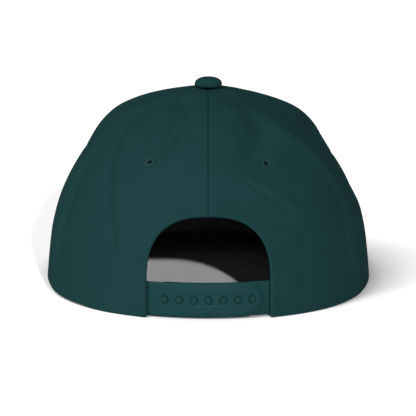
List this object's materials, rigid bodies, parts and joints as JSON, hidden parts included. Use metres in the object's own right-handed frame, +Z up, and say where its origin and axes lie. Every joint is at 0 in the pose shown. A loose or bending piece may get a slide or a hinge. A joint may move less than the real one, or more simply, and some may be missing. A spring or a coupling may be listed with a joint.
{
  "type": "snapback cap",
  "caption": "Structured cloth cap with a high rounded crown, a flat visor, stitched vent eyelets, a covered top button and a plastic snap strap across a back arch.",
  "frame": {"origin": "centre of the bounding box in plan, on the surface that the cap rests on", "axes": "+Z up; -Y is the front with the visor and +Y is the back with the strap; +X is the wearer's left"},
  "size_m": [0.179, 0.2624, 0.1163],
  "materials": {
    "crown_cloth": "dark blue-green wool-blend twill, matt, fine diagonal weave",
    "band_cloth": "near-black plain cotton twill, matt",
    "eyelet_thread": "blue-green embroidery thread, slight sheen",
    "strap_plastic": "blue-green moulded polyethylene, satin"
  },
  "bodies": {
    "root": {"panel_back_left": "crown_cloth", "panel_back_right": "crown_cloth", "panel_side_left": "crown_cloth", "panel_side_right": "crown_cloth", "panel_front_left": "crown_cloth", "panel_front_right": "crown_cloth", "visor": "crown_cloth", "top_button": "crown_cloth", "sweatband": "band_cloth", "eyelet_back_left": "eyelet_thread", "eyelet_back_right": "eyelet_thread", "eyelet_side_left": "eyelet_thread", "eyelet_side_right": "eyelet_thread", "eyelet_front_left": "eyelet_thread", "eyelet_front_right": "eyelet_thread", "strap_holes": "strap_plastic", "strap_pegs": "strap_plastic"}
  },
  "joints": []
}
